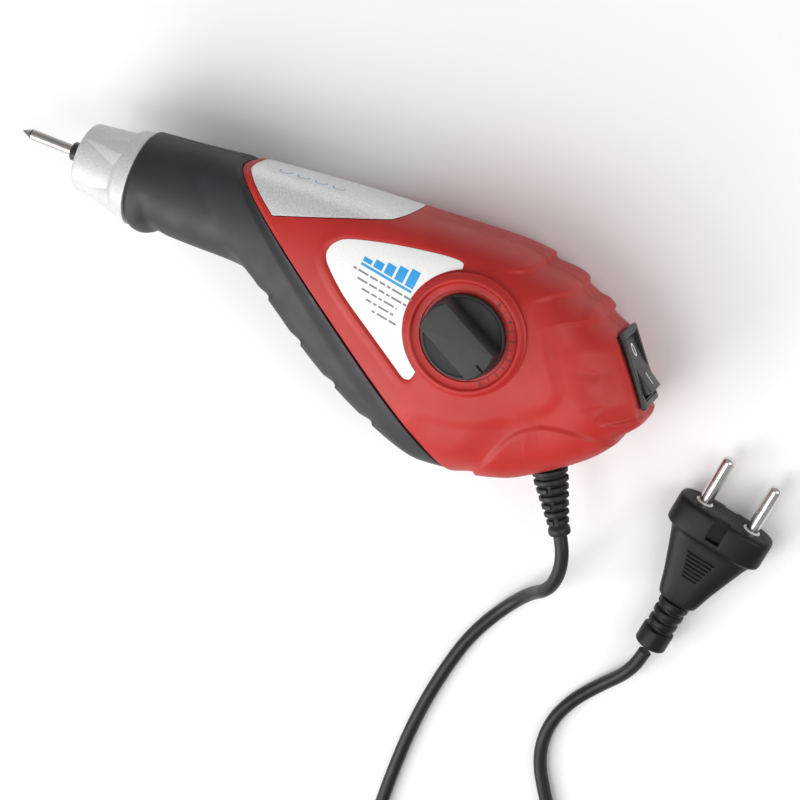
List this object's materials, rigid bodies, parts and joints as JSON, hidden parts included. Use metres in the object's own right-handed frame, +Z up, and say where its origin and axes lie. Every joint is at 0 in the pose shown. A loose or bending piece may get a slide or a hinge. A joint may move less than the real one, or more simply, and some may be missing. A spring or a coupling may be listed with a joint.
{
  "type": "electric engraving pen",
  "caption": "Mains engraving pen: magnet-driven carbide needle, stroke dial on the flank, rear rocker switch, rubber overmoulded grip, lead with plug.",
  "frame": {"origin": "on the table under the centre of the pen's box, the free cord and its plug left out", "axes": "the pen lies on its side: +X runs from the needle tip to the rear switch, +Y towards the silver panel on its back, +Z up through the stroke dial"},
  "size_m": [0.3034, 0.3069, 0.0642],
  "materials": {
    "red_plastic": "red moulded plastic, fine satin texture",
    "black_rubber": "soft matt black overmould",
    "black_plastic": "black moulded plastic, satin",
    "silver_plastic": "silver metallic paint, fine speckle",
    "pale_plastic": "natural engineering plastic",
    "label_film": "white printed film",
    "steel": "ground and plated steel",
    "carbide": "ground tungsten carbide",
    "iron": "varnished laminations",
    "copper": "enamelled copper wire",
    "brass": "plain brass"
  },
  "bodies": {
    "housing": {"housing_upper": "red_plastic", "housing_lower": "red_plastic", "grip_upper": "black_rubber", "grip_lower": "black_rubber", "needle_bush": "black_rubber", "strain_relief": "black_rubber", "cord_stub": "black_rubber", "plug_body": "black_rubber", "plug_collar": "black_rubber", "switch_body": "black_plastic", "wire_line": "black_plastic", "wire_switched": "black_plastic", "wire_neutral": "black_plastic", "cord_lead": "black_plastic", "cord_tail": "black_plastic", "cord_coil": "black_plastic", "cord_tie": "black_plastic", "nose_cap": "silver_plastic", "back_panel": "silver_plastic", "plunger_guide": "pale_plastic", "bobbin": "pale_plastic", "cord_clamp": "pale_plastic", "rating_label": "label_film", "return_spring": "steel", "core_screw_a": "steel", "core_screw_b": "steel", "clamp_screw_a": "steel", "clamp_screw_b": "steel", "plug_pin_a": "steel", "plug_pin_b": "steel", "housing_screw_1": "steel", "housing_screw_2": "steel", "housing_screw_3": "steel", "housing_screw_4": "steel", "housing_screw_5": "steel", "core_stack": "iron", "winding": "copper", "switch_terminal_a": "brass", "switch_terminal_b": "brass"},
    "needle_unit": {"plunger": "steel", "armature": "iron", "needle_shank": "steel", "carbide_tip": "carbide", "needle_clamp_screw": "steel"},
    "stroke_dial": {"dial_knob": "black_plastic", "dial_shaft": "pale_plastic", "dial_clip": "steel"},
    "stroke_stop_bar": {"stroke_stop": "pale_plastic"},
    "rocker": {"switch_rocker": "black_plastic"}
  },
  "joints": [
    {"name": "needle_slide", "type": "slide", "parent": "housing", "child": "needle_unit", "axis": [1, 0, 0], "range_m": [0, 0.0012], "stiffness_N_per_m": 1500, "springref_m": -0.0006},
    {"name": "dial_turn", "type": "hinge", "parent": "housing", "child": "stroke_dial", "pos_m": [0.0606, 0.0126, 0.0546], "axis": [0, 0, 1], "range_deg": [-24.5, 89]},
    {"name": "stop_slide", "type": "slide", "parent": "housing", "child": "stroke_stop_bar", "axis": [1, 0, 0], "range_m": [-0.0009, 0.0003]},
    {"name": "rocker_tilt", "type": "hinge", "parent": "housing", "child": "rocker", "pos_m": [0.11488, 0.01666, 0.028], "axis": [0, 0, -1], "range_deg": [0, 24]}
  ],
  "couplings": [
    {"joint": "stop_slide", "follows": "dial_turn", "m_per_rad": -0.0005}
  ]
}
